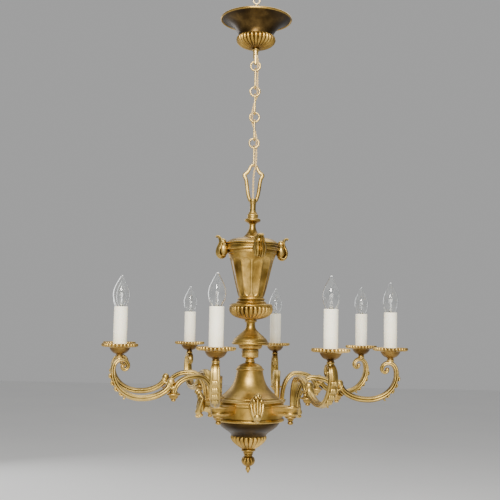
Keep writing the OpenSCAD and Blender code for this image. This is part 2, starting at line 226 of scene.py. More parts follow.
def bezier(a, b, c, d, n):
    a, b, c, d = Vector(a), Vector(b), Vector(c), Vector(d)
    return [a * (1 - t) ** 3 + b * 3 * t * (1 - t) ** 2 + c * 3 * t * t * (1 - t) + d * t ** 3
            for t in (k / n for k in range(n))]


def cavities(mesh):
    """How hollow the surface is at each point: over 0.5 in a recess, under it on an edge."""
    count = len(mesh.vertices)
    where = np.empty(count * 3)
    mesh.vertices.foreach_get("co", where)
    where = where.reshape(-1, 3)
    normals = np.empty(count * 3)
    mesh.vertex_normals.foreach_get("vector", normals)
    normals = normals.reshape(-1, 3)
    ends = np.empty(len(mesh.edges) * 2, int)
    mesh.edges.foreach_get("vertices", ends)
    a, b = ends[::2], ends[1::2]
    away = where[b] - where[a]
    size = np.linalg.norm(away, axis=1) + 1e-9
    near = np.maximum(np.bincount(a, None, count) + np.bincount(b, None, count), 1)

    def gather(at_a, at_b):
        return (np.bincount(a, at_a, count) + np.bincount(b, at_b, count)) / near

    bend = gather((away * normals[a]).sum(1) / size, -(away * normals[b]).sum(1) / size)
    for _ in range(2):
        bend = 0.5 * bend + 0.5 * gather(bend[b], bend[a])
    return np.clip(0.5 + 1.6 * bend, 0.0, 1.0)


def piece(name, form, material, body=BODY, replaces=(), matrix=None, sharp=38.0):
    """Makes an object of a form, in the frame, hangs it on the body it rides on, and hides the CAD parts it
    stands for.
    """
    mesh = bpy.data.meshes.new(name)
    place = (matrix or Matrix.Identity(4))
    mesh.from_pydata([((place @ p) * MM + Vector((0, 0, LEVEL)))[:] for p in form.points], [], form.faces)
    mesh.validate()
    shell = bmesh.new()
    shell.from_mesh(mesh)
    bmesh.ops.remove_doubles(shell, verts=shell.verts, dist=1e-6)
    bmesh.ops.recalc_face_normals(shell, faces=shell.faces)
    shell.to_mesh(mesh)
    shell.free()
    mesh.polygons.foreach_set("use_smooth", [True] * len(mesh.polygons))
    mesh.set_sharp_from_angle(angle=math.radians(sharp))
    hollow = mesh.attributes.new("hollow", "FLOAT", "POINT")
    hollow.data.foreach_set("value", cavities(mesh))
    mesh.materials.append(material)
    obj = bpy.data.objects.new(name, mesh)
    bpy.context.scene.collection.objects.link(obj)
    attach(obj, body)
    if replaces:
        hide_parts(*replaces)
    return obj


def turn(angle):
    """A turn about the axis, counted from the front."""
    return Matrix.Rotation(math.radians(angle - 90), 4, "Z")


def quarter_turns(first):
    return [turn(first + 90 * k) for k in range(4)]


# ---------- materials ----------

def shader(name):
    material = bpy.data.materials.new(name)
    material.use_nodes = True
    tree = material.node_tree
    return material, tree, tree.nodes["Principled BSDF"]


def ramp(tree, source, low, high, colours):
    """A colour ramp from low to high over two or more colours."""
    node = tree.nodes.new("ShaderNodeValToRGB")
    steps = node.color_ramp.elements
    for k, colour in enumerate(colours):
        at = low + (high - low) * k / (len(colours) - 1)
        if k < 2:
            steps[k].position = at
        else:
            steps.new(at)
        steps[k].color = (*colour, 1)
    tree.links.new(source, node.inputs[0])
    return node.outputs[0]


def noise_of(tree, scale, detail=4.0, stretch=(1, 1, 1)):
    """Noise in the frame's own coordinates."""
    where = tree.nodes.new("ShaderNodeTexCoord")
    spread = tree.nodes.new("ShaderNodeMapping")
    spread.inputs["Scale"].default_value = stretch
    speckle = tree.nodes.new("ShaderNodeTexNoise")
    speckle.inputs["Scale"].default_value = scale
    speckle.inputs["Detail"].default_value = detail
    tree.links.new(where.outputs["Object"], spread.inputs[0])
    tree.links.new(spread.outputs[0], speckle.inputs["Vector"])
    return speckle.outputs["Fac"]


def mix(tree, share, a, b, kind="MIX"):
    node = tree.nodes.new("ShaderNodeMix")
    node.data_type = "RGBA"
    node.blend_type = kind
    if isinstance(share, float):
        node.inputs[0].default_value = share
    else:
        tree.links.new(share, node.inputs[0])
    for end, value in ((6, a), (7, b)):
        if isinstance(value, tuple):
            node.inputs[end].default_value = (*value, 1)
        else:
            tree.links.new(value, node.inputs[end])
    return node.outputs[2]


def spread(tree, source, low, high, to_low, to_high):
    node = tree.nodes.new("ShaderNodeMapRange")
    for k, value in enumerate((low, high, to_low, to_high), 1):
        node.inputs[k].default_value = value
    tree.links.new(source, node.inputs[0])
    return node.outputs[0]


def bump(tree, bsdf, source, strength, distance):
    node = tree.nodes.new("ShaderNodeBump")
    node.inputs["Strength"].default_value = strength
    node.inputs["Distance"].default_value = distance
    tree.links.new(source, node.inputs["Height"])
    tree.links.new(node.outputs[0], bsdf.inputs["Normal"])


def metal(name, dark, middle, light, dirt, rough=(0.28, 0.5), stretch=(1, 1, 1), dirty=0.85):
    """Aged metal: blotches of three tones, dirt in the recesses, rubbed edges, and a fine grain."""
    material, tree, bsdf = shader(name)
    blotches = noise_of(tree, 22.0, 5.0)
    grain = noise_of(tree, 420.0, 3.0, stretch)
    tone = ramp(tree, blotches, 0.34, 0.66, (dark, middle, light))
    hollow = tree.nodes.new("ShaderNodeAttribute")
    hollow.attribute_name = "hollow"
    depth = hollow.outputs["Fac"]
    recess = spread(tree, depth, 0.53, 0.72, 0.0, dirty)
    rubbed = spread(tree, depth, 0.26, 0.46, 0.55, 0.0)
    tone = mix(tree, rubbed, tone, light)
    tone = mix(tree, recess, tone, dirt)
    tone = mix(tree, spread(tree, grain, 0.35, 0.7, 0.0, 0.25), tone, dark)
    tree.links.new(tone, bsdf.inputs["Base Color"])
    gloss = spread(tree, blotches, 0.3, 0.7, rough[0], rough[1])
    tree.links.new(gloss, bsdf.inputs["Roughness"])
    bsdf.inputs["Metallic"].default_value = 1.0
    bump(tree, bsdf, grain, 0.18, 0.0004)
    return material


GILT = metal("aged_gilt", (0.15, 0.082, 0.016), (0.36, 0.222, 0.048), (0.70, 0.47, 0.14),
             (0.03, 0.015, 0.004),
             rough=(0.32, 0.48))
TURNED = metal("turned_gilt", (0.18, 0.10, 0.02), (0.37, 0.235, 0.052), (0.64, 0.43, 0.125),
               (0.03, 0.015, 0.004),
               rough=(0.33, 0.46), stretch=(0.25, 0.25, 3.0))
BRIGHT = metal("bright_gilt", (0.22, 0.135, 0.03), (0.46, 0.31, 0.085), (0.80, 0.58, 0.22),
               (0.05, 0.026, 0.007),
               rough=(0.33, 0.48))
DARK = metal("dark_bronze", (0.022, 0.013, 0.005), (0.05, 0.03, 0.01), (0.13, 0.08, 0.026),
             (0.008, 0.005, 0.003),
             rough=(0.3, 0.5))
PALE = metal("pale_brass", (0.40, 0.27, 0.10), (0.68, 0.50, 0.23), (0.90, 0.72, 0.40), (0.16, 0.09, 0.03))
STEEL = metal("dull_steel", (0.25, 0.25, 0.25), (0.4, 0.4, 0.4), (0.55, 0.55, 0.54), (0.08, 0.07, 0.06))


def plastic(name, colour, shade, rough, soft):
    material, tree, bsdf = shader(name)
    clouds = noise_of(tree, 35.0, 4.0)
    fine = noise_of(tree, 900.0, 2.0)
    tree.links.new(ramp(tree, clouds, 0.35, 0.7, (colour, shade)), bsdf.inputs["Base Color"])
    tree.links.new(spread(tree, clouds, 0.3, 0.7, rough, rough + 0.15), bsdf.inputs["Roughness"])
    bsdf.inputs["Subsurface Weight"].default_value = soft
    bsdf.inputs["Subsurface Radius"].default_value = (0.004, 0.003, 0.002)
    bump(tree, bsdf, fine, 0.12, 0.0002)
    return material


IVORY = plastic("ivory_sleeve", (1.0, 0.955, 0.80), (0.98, 0.91, 0.73), 0.38, 0.1)
HOLDER = plastic("holder_plastic", (0.80, 0.79, 0.74), (0.70, 0.68, 0.62), 0.5, 0.0)


def clear_glass():
    material, tree, bsdf = shader("bulb_glass")
    ripple = noise_of(tree, 60.0, 2.0)
    tint = ramp(tree, ripple, 0.3, 0.7, ((0.96, 0.975, 0.97), (1.0, 1.0, 0.995)))
    tree.links.new(tint, bsdf.inputs["Base Color"])
    tree.links.new(spread(tree, ripple, 0.3, 0.7, 0.0, 0.03), bsdf.inputs["Roughness"])
    bsdf.inputs["IOR"].default_value = 1.46
    bsdf.inputs["Transmission Weight"].default_value = 1.0
    bump(tree, bsdf, ripple, 0.05, 0.0005)
    return material


def silk():
    material, tree, bsdf = shader("gold_flex")
    fibres = noise_of(tree, 1500.0, 3.0, (1, 1, 0.25))
    patches = noise_of(tree, 40.0, 3.0)
    tone = ramp(tree, fibres, 0.3, 0.7, ((0.30, 0.18, 0.05), (0.58, 0.40, 0.15), (0.78, 0.60, 0.30)))
    tone = mix(tree, spread(tree, patches, 0.35, 0.7, 0.0, 0.4), tone, (0.34, 0.22, 0.08))
    tree.links.new(tone, bsdf.inputs["Base Color"])
    bsdf.inputs["Roughness"].default_value = 0.55
    bsdf.inputs["Sheen Weight"].default_value = 0.4
    bump(tree, bsdf, fibres, 0.5, 0.0003)
    return material


GLASS = clear_glass()
SILK = silk()


# ---------- shapes worked into turned metal ----------

def swell(share, run=0.18):
    """0 at both ends of 0..1 and 1 in between, with rounded ramps."""
    if not 0 < share < 1:
        return 0.0
    ramp_in = min(1.0, share / run, (1 - share) / run)
    return math.sqrt(1 - (1 - ramp_in) ** 2)


def flutes(count, depth, low, high, arch, phase=0.0):
    """Broad round-ended hollows between two heights, with narrow ridges between them."""
    def shape(a, r, z):
        if not low < z < high:
            return r, z
        end = min(1.0, (z - low) / arch, (high - z) / arch)
        width = 0.88 * math.sqrt(1 - (1 - end) ** 2)
        off = abs((a * count / (2 * math.pi) + 0.5 + phase) % 1 - 0.5) * 2
        if off >= width:
            return r, z
        return r - depth * width * math.sqrt(1 - (off / width) ** 2), z
    return shape


def rounded_cup(count, depth, centre_r, rim_r, high):
    """Rounded lobes under a cup: they start at a height and run in towards its middle."""
    def shape(a, r, z):
        groove = 1 - abs(math.cos(count * a / 2)) ** 0.55
        inward = min(1.0, max(0.0, (r - centre_r) / (0.35 * rim_r)))
        below = min(1.0, max(0.0, (high - z) / 2.5))
        return (r * (1 - depth * inward * math.sqrt(below) * groove),
                z + 1.6 * inward * below * groove * (r < rim_r))
    return shape


def fine_rows(rows, step):
    """Splits long steps of an outline, so that lobes and hollows show on it."""
    out = [rows[0]]
    for a, b in zip(rows, rows[1:]):
        n = max(1, math.ceil(math.hypot(b[0] - a[0], b[1] - a[1]) / step))
        out.extend((a[0] + (b[0] - a[0]) * k / n, a[1] + (b[1] - a[1]) * k / n) for k in range(1, n + 1))
    return out


ROD_HOLE = 4.5


def turned(name, runs, material, nodes=(), sides=96, shape=None, step=2.2, inner=None, body=BODY):
    """A turned piece: its outside from top to bottom, then a hole for the rod, or the given inside."""
    rows = fine_rows(outline(*runs), step)
    low, high = rows[-1][1], rows[0][1]
    rows = rows + (inner or [(ROD_HOLE, low), (ROD_HOLE, high)])
    form = Form()
    form.lathe(rows, sides, shape)
    return piece(name, form, material, body, nodes or (name,))


# ---------- ceiling rose and chain ----------

ROSE_FOOT = 669.0
RING_R = 10.75
HOOK = 4.3
BOW_Z = 371.75
RING_Z = (601.0, 541.0, 481.0, 421.0)
HINGES = [z + off for z in RING_Z for off in (RING_R, HOOK - RING_R)] + [BOW_Z]
CHAIN_BODIES = ["rose"] + [f"{kind}_{i}" for i in CHAIN for kind in ("ring", "link")] + [BODY]


def circle(radius, n=12):
    return [(radius * math.cos(2 * math.pi * s / n), radius * math.sin(2 * math.pi * s / n))
            for s in range(n)]


def make_eye():
    form = Form()
    loop = [Vector((7.1 * math.cos(a), 0, 755 + 7.1 * math.sin(a))) for a in
            (2 * math.pi * k / 48 for k in range(48))]
    form.sweep(loop, lambda f: circle(1.9, 14), closed=True)
    form.lathe([(0, 700), (3.4, 700)] + outline(
        [(3.4, 742), (4.4, 743), (4.4, 744.4), (3.1, 746)],
        [(3.1, 746), (2.4, 747), (1.9, 748)]) + [(0, 748)], 32)
    piece("hanging_loop", form, PALE, "rose", ["hanging_eye"])


def make_rose():
    outside = outline([(80, 709.8), (66, 703), (52.8, 693.4), (43.4, 681.9), (40.8, 675), (40.5, ROSE_FOOT)])
    inside = outline([(38.5, 671), (38.9, 676), (41.6, 683.4), (51, 695.2), (64.6, 705), (79, 711.2)])
    form = Form()
    form.lathe(outside + [(6.5, ROSE_FOOT), (6.5, 671)] + inside, 128)
    piece("rose_shell", form, DARK, "rose", ["ceiling_rose"])
    lip = Form()
    lip.lathe(outline([(77.6, 709.6), (80.4, 707.6), (82.2, 709.6), (81.2, 712.2), (78.2, 712)]), 128)
    piece("rose_lip", lip, GILT, "rose")
    runs = ([(38, ROSE_FOOT), (41.6, 668.8), (44.4, 666), (45.2, 661), (43, 655), (36.6, 649.4), (27, 645),
             (17, 642.2), (9, 641)], [(9, 641), (6.5, 641)])
    turned("rose_gadroons", runs, GILT, ["rose_cap"], 28 * 12,
           rounded_cup(28, 0.11, 8, 45, 668.6), 1.4, [(6.5, 644), (22, 650), (39, 661)], "rose")
    collar = Form()
    collar.lathe(outline([(6.05, 641), (8.4, 640.4), (9.2, 638.4), (8.4, 636.4), (6.05, 635.8)]), 40)
    piece("stem_collar", collar, BRIGHT, "rose")


FLEX_X = 5.2
FLEX_Y = 4.6


def past_ring(z, x):
    return [(x, -FLEX_Y, z + 10), (x, 0, z), (x, FLEX_Y, z - 10)]


def flex_route():
    """The woven flex leaves the stem, passes through rings and links, and drops down the stirrup."""
    points = [(0, -4.9, 628), (3, -8.4, 622), (FLEX_X, -5.4, 612), (FLEX_X, 0, RING_Z[0])]
    points += [(FLEX_X, FLEX_Y, RING_Z[0] - 10), (5, 0, 571)]
    points += past_ring(RING_Z[1], FLEX_X) + [(0, 0, 516)]
    points += past_ring(RING_Z[2], -FLEX_X) + [(0, 0, 455)]
    points += past_ring(RING_Z[3], FLEX_X)
    points += [(5.6, 0, 396), (4.9, -5.2, 374), (4.5, -5.6, 365), (1.4, -4.4, 353), (0, 0, 338)]
    points += [(0, 0, 315), (0, 0, 270)]
    return smooth(points, 14)


def make_flex():
    route = flex_route()
    run = [0.0]
    for a, b in zip(route, route[1:]):
        run.append(run[-1] + (b - a).length)
    middles = [603, 573, 543, 513, 483, 453, 423, 393]
    cuts = [629] + middles + [269]
    for k, hinge in enumerate(HINGES):
        form = Form()
        part = [i for i, p in enumerate(route) if cuts[k + 1] - 1.2 <= p.z <= cuts[k] + 1.2]
        for half in (0, math.pi):
            strand = []
            for i in part:
                ahead = (route[min(i + 1, len(route) - 1)] - route[max(i - 1, 0)]).normalized()
                u = ahead.cross(Vector((0, 1, 0))).normalized()
                a = half + run[i] / 2.4
                strand.append(route[i] + (u * math.cos(a) + ahead.cross(u) * math.sin(a)) * 1.15)
            form.sweep(strand, lambda f: circle(1.3, 8))
        name = f"flex_{k + 1}"
        obj = piece(name, form, SILK, CHAIN_BODIES[k], ["chain_flex"] if k == 0 else ())
        obj.parent = None
        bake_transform(obj)


def squircle(n, power=0.8):
    out = []
    for s in range(n):
        a = 2 * math.pi * s / n
        c, d = math.cos(a), math.sin(a)
        out.append((math.copysign(abs(c) ** power, c), math.copysign(abs(d) ** power, d)))
    return out


def make_stirrup():
    bow = BOW_Z
    half = (bezier((0, 0, bow), (7.5, 0, bow), (7, 0, bow - 9), (12.2, 0, bow - 16), 12)
            + bezier((12.2, 0, bow - 16), (15, 0, bow - 21), (22, 0, bow - 22), (20.6, 0, bow - 27), 14)
            + bezier((20.6, 0, bow - 27), (12, 0, bow - 36), (16, 0, bow - 66), (6, 0, 288), 26)
            + [Vector((6, 0, 288))])
    line = [Vector((-p.x, 0, p.z)) for p in reversed(half[1:])] + half
    unit = squircle(24)

    def section(f):
        t = 1.9 + 1.7 * min(1, abs(2 * f - 1) / 0.3)
        w = 2 + 1.6 * abs(2 * f - 1)
        return [(a * t * (1 + 0.12 * math.cos(3 * math.pi * b)), b * w) for a, b in unit]
    form = Form()
    form.sweep(line, section)
    form.lathe(outline([(3.1, 293), (6.5, 292.6), (8.4, 290.6)], [(8.4, 290.6), (8.4, 286.5), (7.6, 284)])
               + [(3.1, 284)], 48)
    piece("stirrup_frame", form, ARM_GILT, BODY, ["stirrup"])
    socket = ([(6.8, 284), (7.3, 283), (7.3, 281.6), (6.7, 280.8)], [(6.7, 280.8), (6.7, 266)],
              [(6.7, 266), (7.4, 265), (7.4, 262)])
    turned("stirrup_collar", socket, ARM_GILT, ["stirrup_socket"], 48,
           inner=[(3.1, 262), (3.1, 284)])


# ---------- column ----------

def make_top():
    runs = ([(9, 262), (9.8, 260.6), (9.6, 259)], [(9.6, 259), (12.4, 256), (11.8, 251), (13, 247.6)],
            [(13, 247.6), (17, 246.8), (18, 244.2), (17, 241.6), (13.6, 239.8)],
            [(13.6, 239.8), (9.6, 237.6), (7.4, 234.6), (7.3, 230), (8.2, 225), (10.2, 219.4),
             (14.4, 212.6), (20, 206.6)],
            [(20, 206.6), (20.4, 205)])
    turned("turned_top", runs, TURNED, ["turned_knob"])
    runs = ([(20, 205), (24.4, 204.6), (25, 203.4)],
            [(25, 203.4), (36, 202.6), (46, 200.2), (53, 196.6), (55.6, 194.2)],
            [(55.6, 194.2), (57.4, 193)], [(57.4, 193), (60, 192), (60.5, 190), (59.3, 188.8)],
            [(59.3, 188.8), (59.2, 187)], [(59.2, 187), (60.2, 186), (59.2, 185)], [(59.2, 185), (59.2, 181)],
            [(59.2, 181), (60.6, 179.6), (60.9, 177.4), (59.9, 175.4), (57, 174.5)])
    turned("lid_turned", runs, TURNED, ["lid"], 128,
           inner=[(54, 174.5), (54, 187), (20, 201), (ROD_HOLE, 201), (ROD_HOLE, 205)])


def make_vase():
    runs = ([(55, 174.5), (55.7, 173), (55.5, 168.6)],
            [(55.5, 168.6), (54, 167.8), (53.2, 165), (50.8, 158.6), (48, 152)],
            [(48, 152), (43.2, 131), (38.2, 109), (33, 88), (28.8, 73)], [(28.8, 73), (27.6, 71), (27.5, 69)])
    inside = [(25.4, 69), (35, 109), (45, 152), (52, 171), (53, 174.5)]
    turned("vase_fluted", runs, GILT, ["vase"], 12 * 26,
           flutes(12, 3.0, 72.5, 157, 11, 0.5), 1.7, inside)
    runs = ([(27.5, 69), (29.4, 68.6), (30.8, 67), (30.2, 65.2), (29, 64.6)], [(29, 64.6), (29.4, 63.2)],
            [(29.4, 63.2), (31.4, 61.2), (34, 59.6), (33.8, 57.8), (32, 57)])
    turned("foot_turned", runs, TURNED, ["vase_foot"])
    runs = ([(34, 57), (39.5, 56.6), (45, 55.4), (48, 52.4), (48.4, 49.8)], [(48.4, 49.8), (47.2, 48.8)],
            [(47.2, 48.8), (48.8, 46), (48.2, 39.6), (44.4, 33), (37.4, 27.8), (28.4, 24), (18, 21.4)],
            [(18, 21.4), (14, 20.8), (13, 20)])
    turned("bowl_gadroons", runs, GILT, ["vase_bowl"], 28 * 12,
           rounded_cup(28, 0.1, 13, 48, 48.6), 1.4,
           [(ROD_HOLE, 20), (ROD_HOLE, 24), (14, 26), (30, 33), (43, 44), (43, 50), (34, 54), (ROD_HOLE, 54),
            (ROD_HOLE, 57)])


def make_bells():
    runs = ([(12, 20), (13.6, 19), (13.6, 17), (12, 15.8)], [(12, 15.8), (10.4, 14.4), (9.8, 11.6)],
            [(9.8, 11.6), (10.6, 4.6), (13, -0.6), (18, -6), (24, -11.4), (30, -16)],
            [(30, -16), (31, -17.6)],
            [(31, -17.6), (35.4, -21.4), (38.4, -26)], [(38.4, -26), (39, -28)],
            [(39, -28), (40.8, -29.6), (41.2, -32), (40.4, -34.2), (38, -35)])
    turned("bell_turned", runs, TURNED, ["upper_bell"], 96,
           inner=[(25, -35), (25, -29), (33, -27), (21, -14), (ROD_HOLE, 2), (ROD_HOLE, 20)])
    runs = ([(25, -35), (26.6, -36), (26.8, -38)], [(26.8, -38), (25.6, -39)],
            [(25.6, -39), (24.8, -42), (18.7, -45)],
            [(18.7, -45), (18.7, -49)], [(18.7, -49), (19.6, -50), (18.7, -51)], [(18.7, -51), (18.7, -60)],
            [(18.7, -60), (17.4, -62.6), (13, -64), (10, -66), (9.4, -68)])
    turned("spool_turned", runs, TURNED, ["spool"])
    runs = ([(9.4, -68), (9.6, -70)], [(9.6, -70), (11, -71), (11, -73), (9.8, -74)],
            [(9.8, -74), (14, -75.4), (20.4, -78), (26, -82), (28.8, -86.6)],
            [(28.8, -86.6), (30.8, -87.6), (31.2, -89.4), (30, -91)])
    turned("shoulder_turned", runs, TURNED, ["shoulder_cap"])
    runs = ([(29, -91), (29.4, -95), (31.4, -105), (34.6, -115), (40, -125.6), (48, -135.4), (58.6, -144.6),
             (66.8, -150)], [(66.8, -150), (67.6, -152)], [(67.6, -152), (72, -154), (75, -157)])
    turned("big_bell_turned", runs, TURNED, ["big_bell"], 128,
           inner=[(72, -157), (56, -144.6), (46, -135.4), (33, -115), (27, -91)])


def make_drum():
    runs = ([(75, -157), (77, -157.4), (77.4, -159), (76, -160.4)],
            [(76, -160.4), (75.2, -161.2), (75.2, -163.4)],
            [(75.2, -163.4), (76.4, -164.2), (76.4, -166), (75.2, -166.8)], [(75.2, -166.8), (74.5, -168)],
            [(74.5, -168), (74.5, -193.6)], [(74.5, -193.6), (75.4, -194.4)],
            [(75.4, -194.4), (77.4, -196), (77.8, -198.6), (76.4, -200.6), (74, -201)])
    turned("drum_wall", runs, TURNED, ["drum"], 128,
           inner=[(ROD_HOLE, -201), (ROD_HOLE, -198), (71, -198), (71, -160), (66, -160), (66, -157)])
    runs = ([(68, -201), (67, -206), (62, -213), (54, -219.6), (46, -224.6), (40.6, -229.4), (38.5, -233)],)
    turned("under_bowl_shell", runs, DARK, ["under_bowl"], 128,
           inner=[(ROD_HOLE, -233), (ROD_HOLE, -230), (36, -230), (64, -205),
                  (ROD_HOLE, -205), (ROD_HOLE, -201)])


def make_pendant():
    runs = ([(36, -233), (39, -234), (40, -237), (39, -241.6), (34.6, -247.8), (27.6, -253.8), (20.4, -258.8),
             (15.4, -262)], [(15.4, -262), (14, -263)])
    turned("pendant_gadroons", runs, GILT, ["gadroon_bowl"], 22 * 14,
           rounded_cup(22, 0.13, 13, 40, -233.6),
           1.3)

    def knobbed(a, r, z):
        lump = swell((z + 298) / 18, 0.5)
        return r * (1 - 0.16 * lump * (1 - abs(math.cos(4 * a)) ** 0.7)), z
    rows = fine_rows(outline(
        [(0, -263), (14, -263)], [(14, -263), (15.6, -264), (15.6, -266), (14, -267)],
        [(14, -267), (11.6, -268.6),
        (11, -272)], [(11, -272), (9, -273)], [(9, -273), (10.4, -274.4), (9.2, -276)],
        [(9.2, -276), (8.8, -278.4)],
        [(8.8, -278.4), (12.8, -281), (14.8, -286.6), (14.4, -291.4), (11.6, -296), (7.2, -299)],
        [(7.2, -299), (4.8, -300.6), (4.4, -302.4)], [(4.4, -302.4), (5.4, -304.4), (5.4, -307), (4, -309.4)],
        [(4, -309.4), (2.6, -312), (0, -316)]), 1.2)
    form = Form()
    form.lathe(rows, 96, knobbed)
    piece("finial_turned", form, GILT, BODY, ["finial"])


# ---------- leaves ----------

def leaf_section(width, thick, ribs, n=36):
    """The cross-section of a leaf: ribs along its face, and a plain back."""
    def section(f):
        w, t = width(f), thick(f)
        out = []
        for s in range(n):
            a = 2 * math.pi * s / n
            c, d = math.cos(a), math.sin(a)
            rib = 1 + 0.4 * math.cos(2 * math.pi * ribs * d / 2) if c > 0 else 0.8
            out.append((t * c * rib, w * d))
        return out
    return section


def make_horns():
    leaf = Form()
    line = (bezier((62, 0, 186), (70, 0, 190), (72, 0, 180), (72, 0, 172), 3)
            + bezier((62, 0, 163), (68, 0, 156), (76, 0, 159), (77.5, 0, 168), 10)
            + bezier((77.5, 0, 168), (78, 0, 178), (70, 0, 186), (71, 0, 194), 12)
            + bezier((71, 0, 194), (72, 0, 201), (76.5, 0, 206), (82, 0, 205.4), 9)
            + [Vector((83.4, 0, 203.4))])[3:]

    def width(f):
        lobes = 1 + 0.13 * abs(math.sin(3.5 * math.pi * f))
        return lobes * (6.2 + 8.6 * math.sin(math.pi * min(1, f / 0.92)) ** 0.8 * (1 - 0.4 * f))

    def thick(f):
        return 4.4 * math.sin(math.pi * min(1, 0.12 + 0.76 * f)) ** 0.5 - 0.5 * f
    leaf.sweep(line, leaf_section(width, thick, 5))
    leaf.ball((66.5, 0, 164), (7.5, 10, 7))
    leaf.ball((66.4, 0, 175.5), (11.6, 14.6, 16.5), 28, 14)
    leaf.ball((67, 0, 192.5), (8, 8, 8))
    for s in (-1, 1):
        leaf.ball((81.8, s * 3.4, 204.4), (2.2, 2.4, 2))
    form = Form()
    for spin in quarter_turns(LEAF_TURN + 4):
        form.add(leaf, spin)
    piece("horn_leaves", form, ARM_GILT, BODY, ["lid_horns"], sharp=60)


def make_drum_leaves():
    leaf = Form()
    for lobe in (-2, -1, 0, 1, 2):
        far = abs(lobe)
        tip = -138.5 - 3.4 * far ** 1.6
        side = 5.7 * lobe
        points = [(104, side * 0.28, -191), (110.5, side * 0.5, -184), (112.5 - far, side * 0.95, -172),
                  (110.5 - 2 * far, side * 1.12, -160), (109.5 - 2.6 * far, side * 1.02, tip - 6),
                  (112.5 - 2.6 * far, side * 0.84, tip), (117 - 2.8 * far, side * 0.7, tip + 0.3),
                  (119.6 - 3 * far, side * 0.62, tip - 3.6)]
        line = smooth(points, 5)

        def section(f, far=far):
            curl = 0.4 * math.exp(-((f - 0.84) / 0.13) ** 2)
            r = (3.7 - 0.25 * far) * (0.68 + 0.5 * math.sin(math.pi * min(1, f * 1.05 + 0.05)) + curl)
            return [(a * r * 1.15, b * r) for a, b in circle(1.0, 14)]
        leaf.sweep(line, section)
    leaf.ball((105, 0, -163), (8, 13, 21), 28, 14)
    leaf.ball((112, 0, -182.5), (7.6, 8.4, 8.4))
    leaf.ball((110, 0, -191.4), (5, 5.2, 3.6))
    foot = smooth([(103, 0, -189), (109, 0, -192), (114.5, 0, -193), (118, 0, -190.4)], 5)
    leaf.sweep(foot, lambda f: circle(3.3 - 1.4 * f, 14))
    stalk = smooth([(72, 0, -177), (88, 0, -178.5), (104, 0, -176)], 6)
    leaf.sweep(stalk, lambda f: [(a * 5, b * 5.2) for a, b in squircle(20)])
    form = Form()
    for spin in quarter_turns(LEAF_TURN):
        form.add(leaf, spin)
    piece("palmettes", form, ARM_GILT, BODY, ["drum_leaves"], sharp=50)


# ---------- brackets and arms ----------

def tongue(half, n=20):
    """The outline of a plate from the drum's wall to a rounded end, seen from above."""
    around = [(BRACKET_R + half * math.sin(math.pi * k / n), -half * math.cos(math.pi * k / n))
              for k in range(n + 1)]
    return [(70.5, -half)] + around + [(70.5, half)]


def make_brackets():
    one = Form()
    levels = [(17.8, -163), (18.7, -163.3), (19, -164.1), (19, -166.2), (18.4, -167.2), (17.2, -168.2),
              (16.6, -170.4),
              (16, -173), (15.6, -176.4), (16.2, -177.4), (16.6, -179), (16, -180.6),
              (14.4, -182), (12.6, -184)]
    one.grid([[(x, y, z) for x, y in tongue(half)] for half, z in levels])
    drop = outline([(0, -184), (9.6, -184)], [(9.6, -184), (11.6, -185), (11.8, -186.6), (10, -188)],
                   [(10, -188), (7.4, -190), (6, -192.6), (4.4, -194.8)],
                   [(4.4, -194.8), (5.9, -197), (5.6, -199.8), (3.4, -201.6), (0, -202)])
    post = Form()
    post.lathe(drop, 40)
    one.add(post, Matrix.Translation((BRACKET_R, 0, 0)))
    form = Form()
    for spin in quarter_turns(BRACKET_TURN):
        form.add(one, spin)
    piece("bracket_plates", form, GILT, BODY, ["brackets"], sharp=42)


def bracket_point(i):
    a = math.radians(BRACKET_TURN + 90 * ((i - 1) // 2))
    return Vector((math.sin(a), -math.cos(a), 0)) * BRACKET_R


def candle_point(i):
    low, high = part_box(f"sleeve_{i}")
    return Vector(((low.x + high.x) / 2, (low.y + high.y) / 2, 0)) / MM


def arm_matrix(i):
    start = bracket_point(i)
    way = candle_point(i) - start
    return Matrix.Translation(start) @ Matrix.Rotation(math.atan2(way.y, way.x), 4, "Z")


ARM_LENGTH = (candle_point(1) - bracket_point(1)).length
JOINT_U = 0.46 * ARM_LENGTH
DROP_TOP = -136.0
BOSS_TOP = -60.0


def reeds(thick, width, n=48, plain=-1.0):
    """The cross-section of an arm: an oval bar with six reeds, which start after the plain share."""
    def section(f):
        t, w = thick(f), width(f)
        out = []
        for s in range(n):
            a = 2 * math.pi * s / n
            c, d = math.cos(a), math.sin(a)
            cut = (1 - abs(math.cos(3 * a)) ** 0.8) * min(1.0, max(0.0, (f - plain) / 0.02))
            r = 1 - (0.2 if abs(c) < 0.3 else 0.13) * cut
            out.append((t * r * math.copysign(abs(c) ** 0.8, c), w * r * math.copysign(abs(d) ** 0.8, d)))
        return out
    return section


def arch_line():
    line = (bezier((12, 0, -163), (12, 0, -128), (24, 0, -101), (47, 0, -101), 18)
            + bezier((47, 0, -101), (74, 0, -101), (95, 0, -112), (JOINT_U, 0, DROP_TOP + 1), 18))
    return line + [Vector((JOINT_U, 0, DROP_TOP + 1))]


def scroll_line():
    corners = [(103, -111), (108, -132), (134, -145.5), (164, -145.5), (198, -145.5), (225.5, -122),
               (225.5, -90), (225.5, -76), (219, -67), (209, -67), (199, -67), (191, -77), (196, -84),
               (199, -89), (207, -88), (206, -81)]
    at = [(u, 0, z) for u, z in corners]
    steps = (18, 20, 11, 11, 7)
    line = []
    for k, n in enumerate(steps):
        line += bezier(*at[3 * k:3 * k + 4], n)
    return line + [Vector(at[-1])]


def rounded_start(f, run=0.045):
    return math.sqrt(max(0.04, 1 - (1 - min(1.0, f / run)) ** 2))


